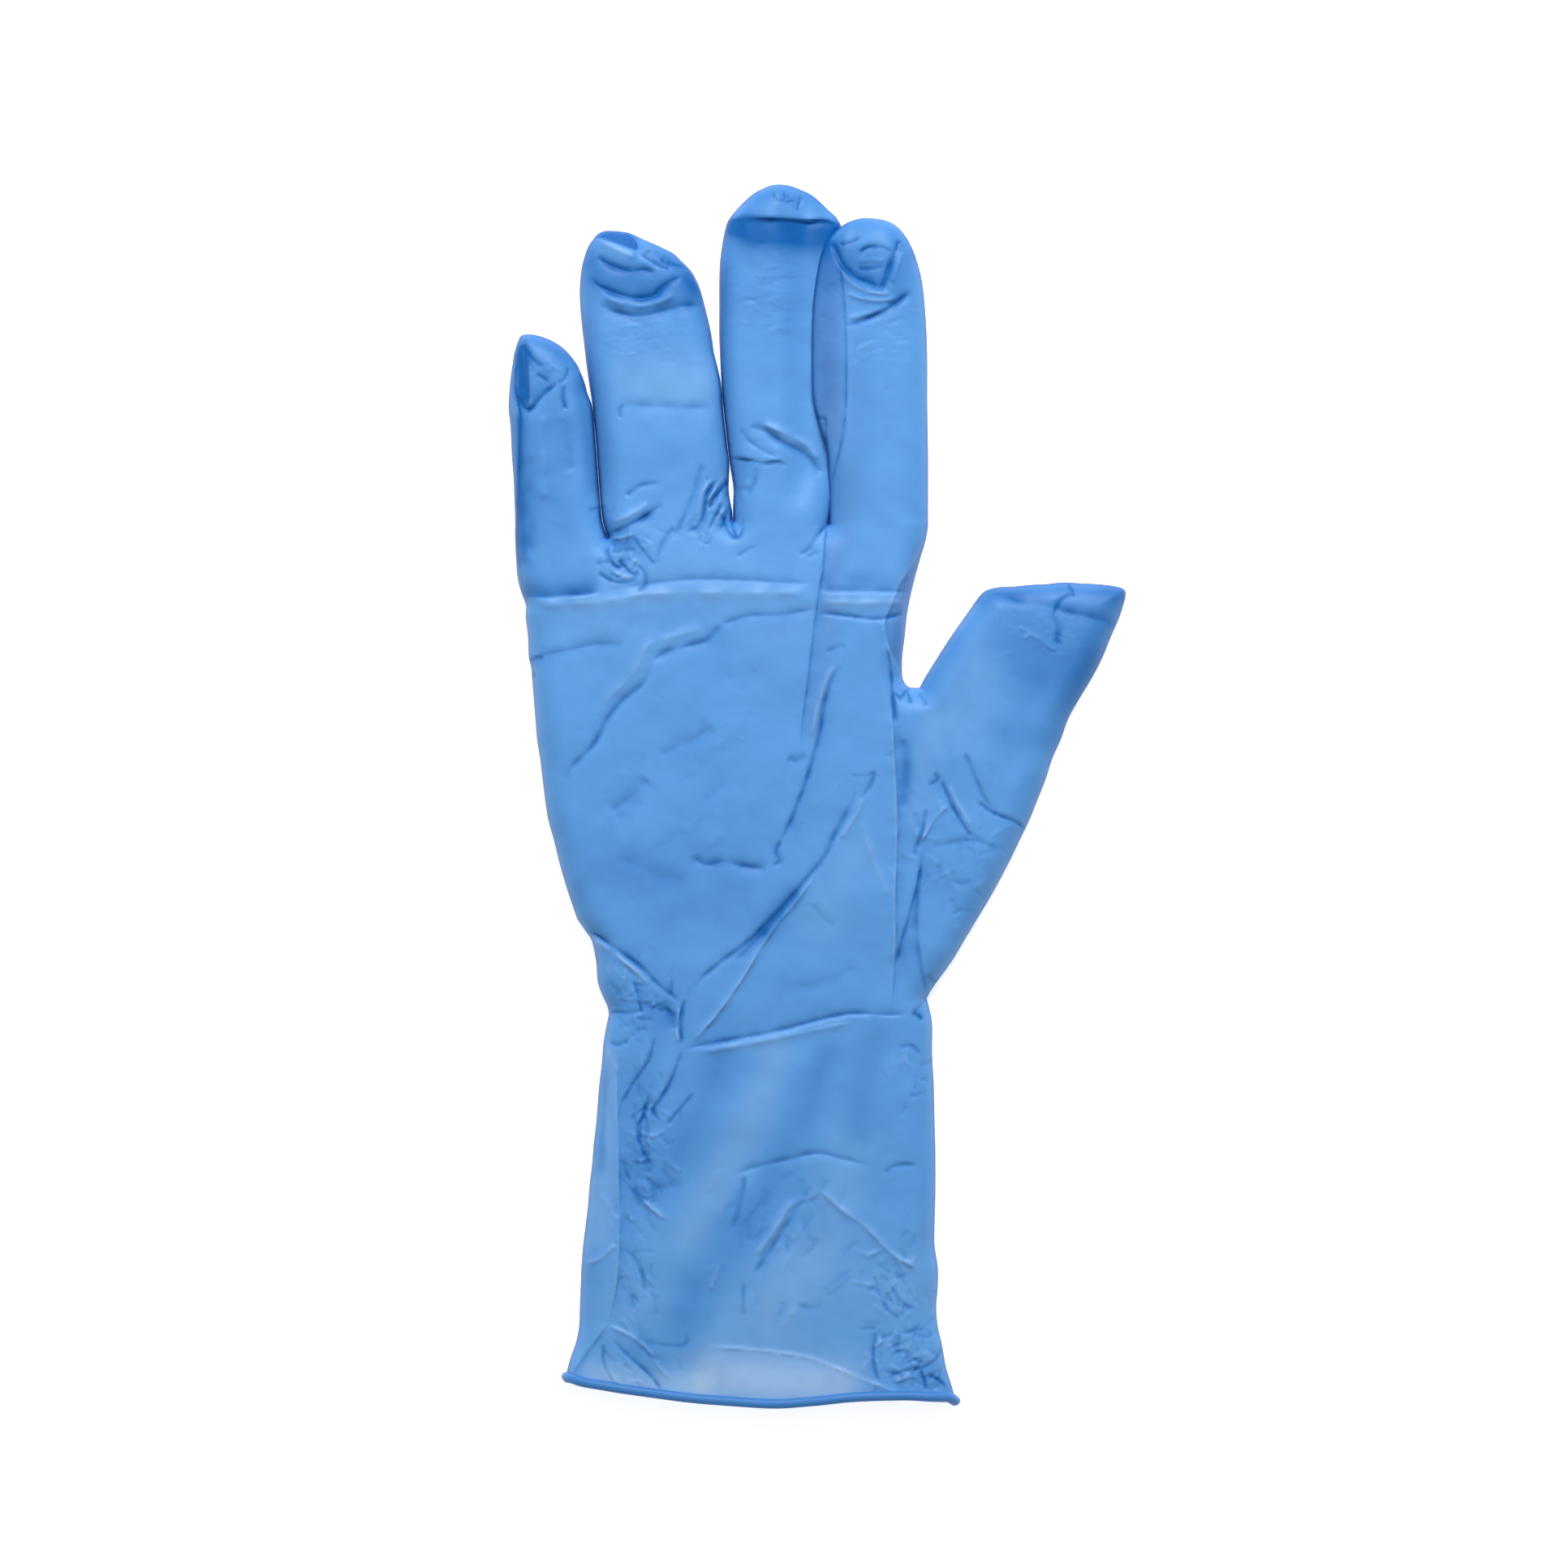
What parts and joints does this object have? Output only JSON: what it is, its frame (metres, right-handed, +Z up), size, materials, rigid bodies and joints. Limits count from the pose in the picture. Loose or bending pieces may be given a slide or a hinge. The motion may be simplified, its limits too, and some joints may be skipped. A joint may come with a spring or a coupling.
{
  "type": "nitrile exam glove",
  "caption": "Thin blue long-cuffed five-finger glove lying flat, hollow from the rolled bead at its mouth to the fingertips, with the index finger lapped over the middle one.",
  "frame": {"origin": "under the middle of the glove's bounding box, on the surface that it lies on", "axes": "+Y from the mouth to the fingertips, +X to the thumb's side, +Z up from the surface"},
  "size_m": [0.1522, 0.302, 0.0117],
  "materials": {
    "nitrile_film": "satin"
  },
  "bodies": {
    "root": {"glove": "nitrile_film"}
  },
  "joints": []
}
